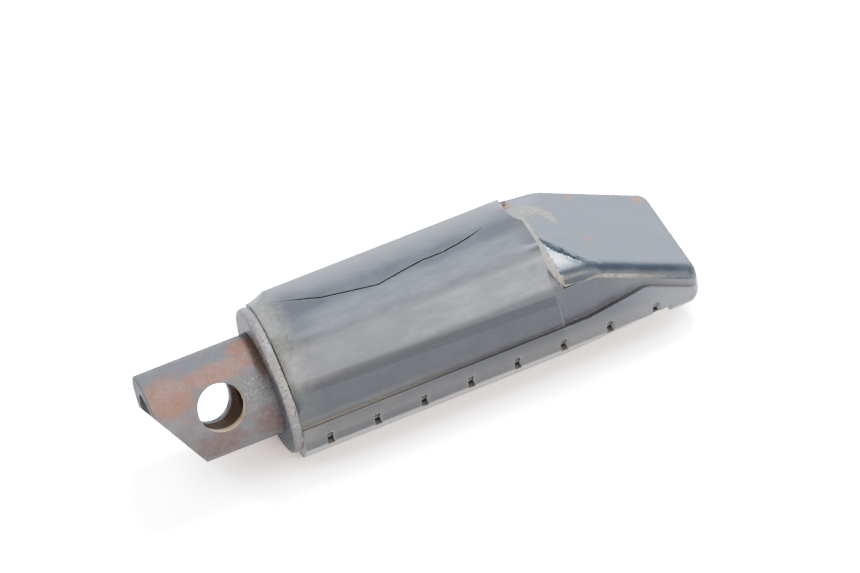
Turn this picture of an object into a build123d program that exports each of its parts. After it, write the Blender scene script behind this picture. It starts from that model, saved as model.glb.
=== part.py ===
from build123d import *
import math
import os

# Motorcycle passenger footpeg, lying on its tread with its underside up, in millimetres.
# X runs along the peg from the hinge end to the tip, Z is up, and the origin is where the axis of
# the hinge pin crosses the axis of the tube.

# Tube
TUBE_OD = 22.0
TUBE_WALL = 3.8
TUBE_EDGE_ROUND = 0.4
PIN_BORE = 10.0
PIN_TILT = 33.5           # degrees between the pin axis and the tread
PIN_TO_SQUARE_END = 13.6
PIN_TO_WASHER = 11.2
MITRE_ANGLE = 30.0        # degrees between the mitre and a square cut
MITRE_START = 3.0         # from the tube axis, measured across the pin
TIP_GAP = 1.5             # between the tube's far end and the rim of the end plate

# Stop washer and the weld bead behind it
WASHER_LAND = 4.9         # how far the washer stands out from the tube
WASHER_THICKNESS = 2.5
WASHER_ROUND = 0.9
WASHER_WELD_LEG = 2.6

# Rubber grip, section: each wall is measured from the tube
TOP_WALL = 5.0
TOP_WIDTH = 18.0
SHOULDER_HEIGHT = 7.0     # above the tube axis
SHOULDER_WALL = 3.2
SKIRT_WALL = 3.5
LEDGE_DROP = 2.6          # below the tube axis
LEDGE_STEP = 0.7
KNEE_DROP = 9.0           # below the tube axis
KNEE_WALL = 3.4
TREAD_WALL = 5.0
TREAD_WIDTH = 17.6
TOP_ROUND = 2.6
SHOULDER_ROUND = 3.5
TREAD_ROUND = 2.5

# Rubber grip, lengths
SLEEVE_LENGTH = 58.0
GRIP_LENGTH = 89.5
TONGUE_STEP = 0.5         # how far the sleeve stands proud of the tongue's sides
END_LAND = 0.4            # past the washer's rim, before the upper corners fall away at the washer
END_SLOPE = 4.8           # along the peg, on the upper corners only
END_HOLLOW = 0.7
EDGE_LEAN = 0.8           # the sleeve's edge, from its shoulder down to the ledge, leans to the tip
EDGE_SETBACK = 1.9        # the far half of the edge, across the top, is pushed back
EDGE_BEND = 5.5           # across the top, from the straight half of the edge to the set back one
BORE_CLEARANCE = 0.1
PLATE_CLEARANCE = 0.1

# Tread grooves
GROOVE_COUNT = 8
GROOVE_PITCH = 10.45
FIRST_GROOVE = 5.6        # from the washer
GROOVE_WIDTH = 1.7
GROOVE_DEPTH = 1.5
GROOVE_DROP = 5.9         # from the tube axis down to the top of the notches in the sides
GROOVE_HEIGHT = 4.4       # of the notches
GROOVE_MARGIN = 2.2       # from the ends of the tread's grooves to its edges

# Tip of the rubber
LIP_LENGTH = 7.4
LIP_FULLNESS = 0.4
LIP_LIFT = 4.3            # from the tread up to the lip's underside
LIP_ROUND = 4.0
LIP_LAND = 0.9            # from the lip's rounding up to the ledge's end at the tip
TIP_CORNER = 4.2
TOE_LENGTH = 33.0         # the tread slopes up over this length, to the tip
TOE_RISE = 4.2
TOE_BEVEL = 39.0          # degrees from the tread, of the two long bevels beside the slope
TOE_DRAW = 5.0            # degrees, the bevels run in towards the tip
CREST_LENGTH = 12.3       # from the crest of the ledge to the tip
CREST_RISE = 2.2
RISE_LENGTH = 13.3        # along the peg, from the level ledge up to its crest

# End plate
PLATE_THICKNESS = 2.0
PLATE_SLOPE = 27.5        # degrees, down towards the tip
PLATE_SINK = 1.8          # below the sleeve's top, at the sleeve's edge
PLATE_OVERHANG = 3.5      # how far the plate's sides stand out from the tube
PLATE_LENGTH = 31.3       # from the sleeve's edge to the tip
PLATE_TUCK = 2.6          # under the sleeve's edge
TUCK_WIDTH = 21.2
BEND_RADIUS = 2.8
PLATE_CORNER = 3.0
FLANGE_DEPTH = 2.7
EAR_TOP = 11.4            # above the tube axis, where the plate's side edge meets the sleeve's edge
EAR_BOTTOM = 7.4
EAR_SETBACK = 2.2         # from the sleeve's edge to the ear's corner
EAR_LENGTH = 1.2
EAR_RUNOUT = 5.8          # along the peg, from the ear to the flange
EAR_GAP = 1.0             # open under the ear, down to the rubber
FACET_TILT = 18.0         # degrees, down towards each side
FACET_FALL = 7.3          # degrees, down towards the tip
FACET_LENGTH = 9.6        # from the sleeve's edge to where the facet runs out
FACET_ROUND = 7.0
PLATE_WELD_RADIUS = 1.3

# Split along the top of the rubber: places along it and offsets across it
SPLIT_WIDTH = 0.5
SPLIT_DEPTH = 1.6
SPLIT_PLACES = [2.8, 10.7, 13.3, 16.0, 22.5, 25.0, 30.9, 35.5, 39.8, 43.0, 46.0, 51.2]
SPLIT_OFFSETS = [4.6, 1.4, 0.2, -0.4, -1.9, -2.4, -1.2, -0.4, -0.4, 0.1, 0.8, 2.6]

# Places worked out from the sizes
tube_radius = TUBE_OD / 2
washer_back = PIN_TO_WASHER + WASHER_THICKNESS
washer_radius = tube_radius + WASHER_LAND
sleeve_end = washer_back + SLEEVE_LENGTH
grip_end = washer_back + GRIP_LENGTH
top_z = tube_radius + TOP_WALL
tread_z = -tube_radius - TREAD_WALL
skirt_half = tube_radius + SKIRT_WALL
slab_half = skirt_half + LEDGE_STEP
plate_half = tube_radius + PLATE_OVERHANG
plate_end = sleeve_end + PLATE_LENGTH
lip_top = tread_z + LIP_LIFT + LIP_ROUND
slope_fall = math.tan(math.radians(PLATE_SLOPE))
plate_start_z = top_z - PLATE_SINK
toe_x = grip_end - TOE_LENGTH
tuck_x = sleeve_end - PLATE_TUCK
ear_x = sleeve_end + EAR_SETBACK
plate_root = sleeve_end - SLEEVE_LENGTH / 4
tube_end = plate_end - PLATE_THICKNESS - TIP_GAP

# Cutting tools reach a little past what they cut, or past the whole part
slack = 1.0
far = 4 * GRIP_LENGTH


def side_profile(points, half_width):
    """A solid whose outline, seen from the side, is given by (x, z) points."""
    outline = make_face(Polyline(*[(x, 0, z) for x, z in points], close=True))
    return extrude(outline, half_width, dir=(0, 1, 0), both=True)


def section_face(half_points, rounds):
    """A symmetric section in the YZ plane from its right half, with named corners rounded."""
    mirrored = [(-y, z) for y, z in reversed(half_points) if y > 0]
    points = [*half_points, *mirrored]
    with BuildSketch(Plane.YZ) as sketch:
        with BuildLine():
            Polyline(*points, close=True)
        make_face()
        for (y, z), radius in rounds:
            corners = [v for v in sketch.vertices() if math.isclose(abs(v.X), y, abs_tol=1e-6)
                       and math.isclose(v.Y, z, abs_tol=1e-6)]
            fillet(corners, radius)
    return sketch.sketch


def slope_z(x, drop=0.0):
    """Height of the end plate's sloping top face at x, less a drop square to that face."""
    return plate_start_z - (x - sleeve_end) * slope_fall - drop / math.cos(math.radians(PLATE_SLOPE))


def facet_tool(side, inset):
    """What lies above one of the plate's two side facets."""
    meet_x = sleeve_end + FACET_LENGTH
    origin = Vector(meet_x, side * plate_half, slope_z(meet_x))
    normal = Vector(math.tan(math.radians(FACET_FALL)), side * math.tan(math.radians(FACET_TILT)), 1)
    normal = normal.normalized()
    plane = Plane(origin=origin - normal * inset, x_dir=(0, 1, 0), z_dir=normal)
    return plane * Box(far, far, far, align=(Align.CENTER, Align.CENTER, Align.MIN))


def plate_block(inset):
    """The full block under the end plate's outer skin, or under a skin set in by the given depth."""
    half = plate_half - inset
    end_x = plate_end - inset
    low_z = tread_z - TREAD_WALL
    block = side_profile(
        [(plate_root, low_z), (end_x, low_z), (end_x, slope_z(end_x, inset)),
         (plate_root, slope_z(plate_root, inset))],
        half,
    )
    upright = block.edges().filter_by(Axis.Z).group_by(Axis.X)[-1]
    block = fillet(upright, PLATE_CORNER - inset)
    for side in (-1, 1):
        block -= facet_tool(side, inset)
    crease = [e for e in block.edges() if abs(e.center().Y) < half - PLATE_CORNER
              and plate_root + slack < e.center().X < end_x - slack and e.center().Z > 0]
    block = fillet(crease, FACET_ROUND)
    upper = [e for e in block.edges() if e.center().Z > slope_z(end_x, inset) - slack
             and e.center().X > plate_root + slack]
    rim = [e for e in upper if abs(e.center().Y) > half - PLATE_CORNER or e.center().X > end_x - slack]
    return fillet(rim, BEND_RADIUS - inset)


def plate_outline(drop, gap, reach):
    """Side view of what the end plate keeps: its left edge, its ear and its flange edge."""
    ear_end = ear_x + EAR_LENGTH
    flange_x = ear_end + EAR_RUNOUT
    tip_x = plate_end + reach
    return [
        (sleeve_end, plate_start_z + TOP_WALL),
        (sleeve_end, EAR_TOP - drop),
        (ear_x, EAR_BOTTOM - drop - gap),
        (ear_end, EAR_BOTTOM - drop - gap),
        (flange_x, slope_z(flange_x) - FLANGE_DEPTH - drop),
        (tip_x, slope_z(tip_x) - FLANGE_DEPTH - drop),
        (tip_x, plate_start_z + TOP_WALL),
    ]


def plate_room(drop, gap, reach):
    """Everything inside the plate's outline, with the tab that runs under the sleeve's edge."""
    tab = Pos(tuck_x, 0, SHOULDER_HEIGHT) * Box(
        PLATE_TUCK, TUCK_WIDTH + 2 * drop, far, align=(Align.MIN, Align.CENTER, Align.MIN))
    return side_profile(plate_outline(drop, gap, reach), far) + tab


def end_plate():
    skin = plate_block(0.0) - plate_block(PLATE_THICKNESS)
    return skin & plate_room(0.0, 0.0, slack)


def peg_tube():
    square_x = -PIN_TO_SQUARE_END
    length = tube_end - square_x
    along = Plane(origin=(square_x, 0, 0), x_dir=(0, 1, 0), z_dir=(1, 0, 0))
    body = along * Cylinder(tube_radius, length, align=(Align.CENTER, Align.CENTER, Align.MIN))
    body = fillet(body.edges().filter_by(GeomType.CIRCLE).group_by(Axis.X)[0], TUBE_EDGE_ROUND)
    bore_radius = tube_radius - TUBE_WALL
    body -= along * Cylinder(bore_radius, length, align=(Align.CENTER, Align.CENTER, Align.MIN))
    # The mitre at the hinge end is cut parallel to the pin, on the tread side.
    reach = tube_radius + MITRE_START
    wedge_x = square_x + reach * math.tan(math.radians(MITRE_ANGLE))
    wedge = side_profile(
        [(square_x, MITRE_START), (wedge_x, -tube_radius), (square_x, -tube_radius)],
        TUBE_OD,
    )
    body -= Rot(X=-PIN_TILT) * wedge
    pin = Rot(X=-PIN_TILT) * Rot(X=90) * Cylinder(PIN_BORE / 2, 2 * TUBE_OD)
    body -= pin
    # The far end is cut to the slope of the end plate, which is welded on the cut.
    tip_cut = side_profile(
        [(plate_root, slope_z(plate_root, PLATE_THICKNESS)),
         (plate_end, slope_z(plate_end, PLATE_THICKNESS)),
         (plate_end, top_z * 2), (plate_root, top_z * 2)],
        far,
    )
    return body - tip_cut


def stop_washer():
    """A flat ring on the tube; each rim is worn round, in two steps."""
    half_round = WASHER_ROUND * (1 - math.sin(math.radians(45)))
    rim = [(0, -WASHER_ROUND), (half_round, -half_round), (WASHER_ROUND, 0)]
    front = [(PIN_TO_WASHER + x, washer_radius + z) for x, z in rim]
    back = [(washer_back - x, washer_radius + z) for x, z in reversed(rim)]
    outline = Polyline((PIN_TO_WASHER, 0, tube_radius), *[(x, 0, z) for x, z in front + back],
                       (washer_back, 0, tube_radius), close=True)
    return revolve(make_face(outline), Axis.X)


def weld_ring(extra):
    """A fillet weld between the tube and the washer's back face, or the room for it."""
    leg = WASHER_WELD_LEG + extra
    with BuildSketch(Plane.XZ) as sketch:
        with BuildLine():
            Polyline((washer_back, tube_radius), (washer_back + leg, tube_radius),
                     (washer_back, tube_radius + leg), close=True)
        make_face()
    return revolve(sketch.sketch, Axis.X)


def plate_weld(tube):
    """Beads where the tube's mitred tip meets the underside of the end plate."""
    face = Plane(origin=(sleeve_end, 0, slope_z(sleeve_end, PLATE_THICKNESS)),
                 x_dir=(math.cos(math.radians(PLATE_SLOPE)), 0, -math.sin(math.radians(PLATE_SLOPE))),
                 z_dir=(math.sin(math.radians(PLATE_SLOPE)), 0, math.cos(math.radians(PLATE_SLOPE))))
    cut = [f for f in tube.faces() if f.geom_type == GeomType.PLANE
           and f.normal_at().dot(face.z_dir) > 0.999]
    rim = [e for f in cut for e in f.edges() if e.geom_type == GeomType.ELLIPSE]
    outer = [e for e in rim
             if math.isclose(math.hypot((e @ 0.5).Y, (e @ 0.5).Z), tube_radius, abs_tol=1e-3)]
    beads = Part()
    for edge in outer:
        start = Plane(origin=edge @ 0, z_dir=edge % 0)
        beads += sweep(start * RegularPolygon(PLATE_WELD_RADIUS, 7), path=edge)
    beads &= plate_block(PLATE_THICKNESS)
    core = Plane.YZ.offset(plate_root) * Cylinder(
        tube_radius, far, align=(Align.CENTER, Align.CENTER, Align.MIN))
    return beads - core


def grip_section(step):
    """Upper part of the rubber's section: flat top, side facets and skirts, set in by a step."""
    low_z = lip_top + LIP_LAND / 2
    shoulder = (tube_radius + SHOULDER_WALL - step, SHOULDER_HEIGHT)
    top_corner = (TOP_WIDTH / 2, top_z)
    half = [
        (0, low_z),
        (skirt_half - step, low_z),
        (skirt_half - step, -LEDGE_DROP),
        shoulder,
        top_corner,
        (0, top_z),
    ]
    return section_face(half, [(top_corner, TOP_ROUND), (shoulder, SHOULDER_ROUND)])


def slab_section(fullness=0.0):
    """Lower part of the rubber's section: the tread slab with bevelled lower corners."""
    knee = (tube_radius + KNEE_WALL, -KNEE_DROP - fullness)
    corner = (TREAD_WIDTH / 2 + fullness, tread_z)
    half = [
        (0, tread_z),
        corner,
        knee,
        (slab_half, -LEDGE_DROP),
        (slab_half, tube_radius),
        (0, tube_radius),
    ]
    return section_face(half, [(corner, TREAD_ROUND), (knee, TREAD_ROUND)])


def along_grip(face, start, end):
    return extrude(Pos(start, 0, 0) * face, end - start, dir=(1, 0, 0))


def slab_top():
    """Side view of the tread slab: its ledge runs level, crests, then falls with the end plate."""
    crest_x = grip_end - CREST_LENGTH
    rise_x = crest_x - RISE_LENGTH
    with BuildSketch(Plane.XZ) as sketch:
        with BuildLine():
            Polyline((washer_back, tread_z), (toe_x, tread_z),
                     (grip_end, tread_z + TOE_RISE), (grip_end, lip_top + LIP_LAND),
                     (crest_x, CREST_RISE - LEDGE_DROP), (rise_x, -LEDGE_DROP),
                     (washer_back, -LEDGE_DROP), close=True)
        make_face()
        for x in (rise_x, crest_x):
            bend = sketch.vertices().filter_by(lambda v: math.isclose(v.X, x))
            fillet(bend, CREST_LENGTH / 3)
    return extrude(sketch.sketch, far, both=True)


def tip_block(low_z):
    """A block from the washer to the tip, whose corners at the tip are rounded as seen from above."""
    length = grip_end - washer_back
    block = Pos(washer_back, 0, low_z) * Box(
        length, 2 * slab_half, far, align=(Align.MIN, Align.CENTER, Align.MIN))
    corners = block.edges().filter_by(Axis.Z).group_by(Axis.X)[-1]
    return fillet(corners, TIP_CORNER)


def toe_bevel(side):
    """What is bevelled off one lower corner of the slab; it grows from nothing towards the tip."""
    tilt = math.radians(TOE_BEVEL)
    normal = Vector(math.tan(math.radians(TOE_DRAW)), side * math.sin(tilt), -math.cos(tilt)).normalized()
    plane = Plane(origin=(toe_x, side * TREAD_WIDTH / 2, tread_z),
                  x_dir=(0, math.cos(tilt), side * math.sin(tilt)), z_dir=normal)
    return plane * Box(far, far, far, align=(Align.CENTER, Align.CENTER, Align.MIN))


def tread_slab():
    """The slab with its ledge, and the fuller lip at the tip, lifted off the tread and rounded."""
    lip_x = grip_end - LIP_LENGTH
    slab = along_grip(slab_section(), washer_back, lip_x)
    for side in (-1, 1):
        slab -= toe_bevel(side)
    nose = tip_block(tread_z + LIP_LIFT)
    under = [e for e in nose.edges().group_by(Axis.Z)[0] if e.center().X > washer_back + slack]
    nose = fillet(under, LIP_ROUND)
    slab += along_grip(slab_section(LIP_FULLNESS), lip_x, grip_end) & nose
    return slab & slab_top()


def tongue():
    """The rubber past the sleeve: inside the plate's pan above, full width below the flange."""
    body = along_grip(grip_section(TONGUE_STEP), tuck_x, grip_end)
    inside = body & plate_block(PLATE_THICKNESS + PLATE_CLEARANCE)
    edge = plate_outline(PLATE_CLEARANCE, EAR_GAP, slack)[2:-1]
    below = body & side_profile(
        [(tuck_x, edge[0][1]), *edge, (plate_end + slack, tread_z), (tuck_x, tread_z)],
        far,
    )
    shelf = body & plate_block(0.0) & Pos(tuck_x, 0, 0) * Box(
        ear_x - tuck_x, far, far, align=(Align.MIN, Align.CENTER, Align.MIN))
    return inside + below + shelf


def sleeve():
    """The grip's full section, with an edge that leans at the skirts and is set back on the top."""
    lean_x = sleeve_end + EDGE_LEAN
    back_x = sleeve_end - EDGE_SETBACK
    body = along_grip(grip_section(0.0), washer_back, lean_x)
    body -= side_profile(
        [(sleeve_end, 2 * top_z), (sleeve_end, SHOULDER_HEIGHT), (lean_x, -LEDGE_DROP),
         (lean_x + slack, -LEDGE_DROP), (lean_x + slack, 2 * top_z)],
        far,
    )
    outline = make_face([
        Spline((sleeve_end, 0), (back_x, EDGE_BEND), tangents=[(-1, 1), (0, 1)]),
        Polyline((back_x, EDGE_BEND), (back_x, TUCK_WIDTH / 2), (lean_x, TUCK_WIDTH / 2),
                 (lean_x, 0), (sleeve_end, 0)),
    ])
    return body - Pos(0, 0, SHOULDER_HEIGHT) * extrude(outline, far)


def groove_tools():
    """Grooves across the tread, and the row of short notches of one depth in each side."""
    lining = offset(slab_section(), -GROOVE_DEPTH)
    tools = []
    for i in range(GROOVE_COUNT):
        x = washer_back + FIRST_GROOVE + i * GROOVE_PITCH
        start = x - GROOVE_WIDTH / 2
        notch = Pos(x, 0, -GROOVE_DROP) * Box(
            GROOVE_WIDTH, 4 * slab_half, GROOVE_HEIGHT, align=(Align.CENTER, Align.CENTER, Align.MAX))
        notch = fillet(notch.edges().filter_by(Axis.Y), GROOVE_WIDTH / 3)
        tools.append(notch - along_grip(lining, start - slack, start + GROOVE_WIDTH + slack))
        floor_z = tread_z + GROOVE_DEPTH + max(0, x - toe_x) * TOE_RISE / TOE_LENGTH
        tools.append(Pos(x, 0, floor_z) * Box(
            GROOVE_WIDTH, TREAD_WIDTH - 2 * GROOVE_MARGIN, far,
            align=(Align.CENTER, Align.CENTER, Align.MAX)))
    return tools


def end_trim():
    """Ring cut from the upper corners at the washer, so that the grip meets the washer's rim."""
    start = (washer_back, washer_radius + END_LAND)
    corner = (washer_back, math.hypot(TOP_WIDTH / 2, top_z) + slack)
    end = (washer_back + END_SLOPE, corner[1])
    with BuildSketch(Plane.XZ) as sketch:
        with BuildLine():
            Line(start, corner)
            Line(corner, end)
            SagittaArc(end, start, END_HOLLOW)
        make_face()
    ring = revolve(sketch.sketch, Axis.X)
    upper = Pos(0, 0, SHOULDER_HEIGHT) * Box(
        far, far, far, align=(Align.CENTER, Align.CENTER, Align.MIN))
    return ring & upper


def split_tool():
    """A thin wandering slot, closed to a point at both ends, down from the rubber's top."""
    path = [(washer_back + x, y) for x, y in zip(SPLIT_PLACES, SPLIT_OFFSETS)]
    near = [(x, y - SPLIT_WIDTH / 2) for x, y in path[1:-1]]
    away = [(x, y + SPLIT_WIDTH / 2) for x, y in reversed(path[1:-1])]
    outline = make_face(Polyline(path[0], *near, path[-1], *away, close=True))
    return extrude(Pos(0, 0, top_z - SPLIT_DEPTH) * outline, SPLIT_DEPTH + slack)


def grip_rubber(weld):
    grip = sleeve() + tongue()
    grip += tread_slab()
    grip &= tip_block(tread_z)
    room = Cylinder(tube_radius + BORE_CLEARANCE, tube_end - washer_back + PLATE_CLEARANCE,
                    align=(Align.CENTER, Align.CENTER, Align.MIN))
    grip -= Plane.YZ.offset(washer_back) * room
    pocket = plate_block(-PLATE_CLEARANCE) - plate_block(PLATE_THICKNESS + PLATE_CLEARANCE)
    grip -= pocket & plate_room(PLATE_CLEARANCE, EAR_GAP, 2 * slack)
    grip -= weld_ring(PLATE_CLEARANCE)
    grip -= weld
    for tool in groove_tools():
        grip -= tool
    grip -= end_trim()
    return grip - split_tool()


tube_part = peg_tube()
weld_part = plate_weld(tube_part)
nodes = {
    "peg_tube": tube_part,
    "stop_washer": stop_washer(),
    "washer_weld": weld_ring(0.0),
    "end_plate": end_plate(),
    "plate_weld": weld_part,
    "grip_rubber": grip_rubber(weld_part),
}

os.makedirs("parts", exist_ok=True)
for name, solid in nodes.items():
    export_step(solid, f"parts/{name}.step")
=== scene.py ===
"""Looks of a worn motorcycle passenger footpeg that lies on its tread on white paper.

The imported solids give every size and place. Lengths here are metres, except that the patterns in
the materials are laid out in millimetres of the part's own frame.
"""

import logging
import math
from dataclasses import dataclass
from enum import Enum

import bmesh
import bpy
from mathutils import Matrix, Vector


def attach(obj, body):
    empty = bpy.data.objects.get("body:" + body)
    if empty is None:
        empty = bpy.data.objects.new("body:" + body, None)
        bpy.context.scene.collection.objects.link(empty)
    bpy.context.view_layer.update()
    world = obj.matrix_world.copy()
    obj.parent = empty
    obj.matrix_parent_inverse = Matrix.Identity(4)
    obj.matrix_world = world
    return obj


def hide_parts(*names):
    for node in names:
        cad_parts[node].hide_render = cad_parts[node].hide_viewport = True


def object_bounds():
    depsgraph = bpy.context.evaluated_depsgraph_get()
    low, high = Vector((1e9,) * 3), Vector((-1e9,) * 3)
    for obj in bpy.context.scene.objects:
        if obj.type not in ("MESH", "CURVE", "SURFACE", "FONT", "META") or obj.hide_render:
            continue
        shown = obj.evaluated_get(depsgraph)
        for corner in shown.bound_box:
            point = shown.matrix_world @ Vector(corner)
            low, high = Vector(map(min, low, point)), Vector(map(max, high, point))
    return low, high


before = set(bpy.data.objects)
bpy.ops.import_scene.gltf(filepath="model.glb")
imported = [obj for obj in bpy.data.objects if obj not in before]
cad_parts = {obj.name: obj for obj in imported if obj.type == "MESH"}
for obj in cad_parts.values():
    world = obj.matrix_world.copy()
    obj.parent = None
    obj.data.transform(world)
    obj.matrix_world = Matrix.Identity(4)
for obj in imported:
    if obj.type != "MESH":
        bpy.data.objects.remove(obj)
cad_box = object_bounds()

log = logging.getLogger("footpeg")
logging.basicConfig(level=logging.INFO, format="%(message)s")

ROOT = "root"
MM_PER_M = 1000.0
NOISE_MIDDLE = 0.5
COOL_LIGHT = (0.8, 0.93, 1.09)
WARM_LIGHT = (1.0, 0.99, 1.0)

Colour = tuple[float, float, float]
Point = tuple[float, float, float]
Socket = bpy.types.NodeSocket
Node = bpy.types.Node


class Step(Enum):
    """Steps of arithmetic on numbers and vectors, by the names that the nodes give them."""

    ADD = "ADD"
    SUBTRACT = "SUBTRACT"
    MULTIPLY = "MULTIPLY"
    DIVIDE = "DIVIDE"
    MAXIMUM = "MAXIMUM"
    ABSOLUTE = "ABSOLUTE"
    PINGPONG = "PINGPONG"
    NORMALIZE = "NORMALIZE"
    LENGTH = "LENGTH"
    DOT_PRODUCT = "DOT_PRODUCT"


@dataclass(frozen=True)
class Ramp:
    """A smooth step: where it starts and ends, and its value at each."""

    start: float | Socket
    end: float | Socket
    low: float = 0.0
    high: float = 1.0


@dataclass(frozen=True)
class Span:
    """A stretch: its two ends, and the width of the fade past each."""

    start: float
    end: float
    soft: float


@dataclass(frozen=True)
class Blotches:
    """Cloudy blotches: how many go to a millimetre, and the noise at which they start and are full."""

    scale: float
    low: float
    high: float


@dataclass(frozen=True)
class Patch:
    """A ragged patch at a place on the part, in millimetres."""

    centre: Point
    reach: Point
    ragged: float


class Sheet:
    """A node tree, with short calls for the nodes that the finishes share."""

    def __init__(self, tree: bpy.types.NodeTree) -> None:
        """Keeps the tree to draw on."""
        self.tree = tree

    def add(self, kind: str, inputs: dict | None = None, **settings: object) -> Node:
        """Adds a node.

        Args:
            kind: The node's type name.
            inputs: Socket name or number to a value, or to a socket to link from.
            **settings: Properties of the node.

        Returns:
            The node.
        """
        node = self.tree.nodes.new(kind)
        for name, value in settings.items():
            setattr(node, name, value)
        for key, value in (inputs or {}).items():
            self.feed(node.inputs[key], value)
        return node

    def feed(self, socket: Socket, value: object) -> None:
        """Links a socket, or sets its value.

        Args:
            socket: The input to feed.
            value: A socket to link from, a number, a colour or a vector.
        """
        if isinstance(value, bpy.types.NodeSocket):
            self.tree.links.new(value, socket)
        elif socket.type == "RGBA" and len(value) == 3:
            socket.default_value = (*value, 1.0)
        else:
            socket.default_value = value

    def calc(self, step: Step, a: object, b: object = 0.0) -> Socket:
        """The result of one step of arithmetic on one or two numbers."""
        return self.add("ShaderNodeMath", {0: a, 1: b}, operation=step.value).outputs[0]

    def vector(self, step: Step, a: object, b: object = (0.0, 0.0, 0.0)) -> Socket:
        """One step of arithmetic on vectors.

        Args:
            step: The step.
            a: First vector.
            b: Second vector.

        Returns:
            The result: a number for a length or a dot product, or else a vector.
        """
        node = self.add("ShaderNodeVectorMath", {0: a, 1: b}, operation=step.value)
        return node.outputs["Value" if step in (Step.LENGTH, Step.DOT_PRODUCT) else "Vector"]

    def fade(self, value: object, ramp: Ramp) -> Socket:
        """A smooth step of what is measured."""
        inputs = {"Value": value, 1: ramp.start, 2: ramp.end, 3: ramp.low, 4: ramp.high}
        return self.add("ShaderNodeMapRange", inputs, interpolation_type="SMOOTHSTEP", clamp=True).outputs[0]

    def band(self, value: object, span: Span) -> Socket:
        """A mask that is 1 where the value lies on a stretch and fades out past it."""
        rise = self.fade(value, Ramp(span.start - span.soft, span.start))
        return self.both(rise, self.fade(value, Ramp(span.end + span.soft, span.end)))

    def both(self, *masks: object) -> Socket:
        """The product of two or more masks.

        Args:
            *masks: The masks.

        Returns:
            Where all of them show.
        """
        result = masks[0]
        for mask in masks[1:]:
            result = self.calc(Step.MULTIPLY, result, mask)
        return result

    def either(self, *masks: object) -> Socket:
        """The highest of one or more masks.

        Args:
            *masks: The masks.

        Returns:
            Where any of them shows.
        """
        result = masks[0]
        for mask in masks[1:]:
            result = self.calc(Step.MAXIMUM, result, mask)
        return result

    def lay(self, mask: object, under: object, over: object) -> Socket:
        """Lays one colour over another.

        Args:
            mask: How much of the upper colour shows.
            under: The lower colour.
            over: The upper colour.

        Returns:
            The mixed colour.
        """
        inputs = {0: mask, 6: under, 7: over}
        return self.add("ShaderNodeMix", inputs, data_type="RGBA", clamp_factor=True).outputs[2]

    def noise(self, point: Socket, scale: float | Socket, detail: float = 4.0, rough: float = 0.6) -> Socket:
        """Cloudy noise from 0 to 1.

        Args:
            point: Where it is read, in millimetres.
            scale: Features per millimetre.
            detail: Number of finer layers.
            rough: How strong the finer layers are.

        Returns:
            The noise.
        """
        inputs = {"Vector": point, "Scale": scale, "Detail": detail, "Roughness": rough}
        return self.add("ShaderNodeTexNoise", inputs).outputs["Fac"]

    def jitter(self, point: Socket, scale: float, reach: float) -> Socket:
        """Noise about zero that makes an edge ragged, the reach being its whole height."""
        about_zero = self.calc(Step.SUBTRACT, self.noise(point, scale), NOISE_MIDDLE)
        return self.calc(Step.MULTIPLY, about_zero, reach)

    def use(self, effect: bpy.types.NodeTree, inputs: dict) -> Node:
        """A node for one of the shared effects, with its inputs."""
        return self.add("ShaderNodeGroup", inputs, node_tree=effect)


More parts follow.
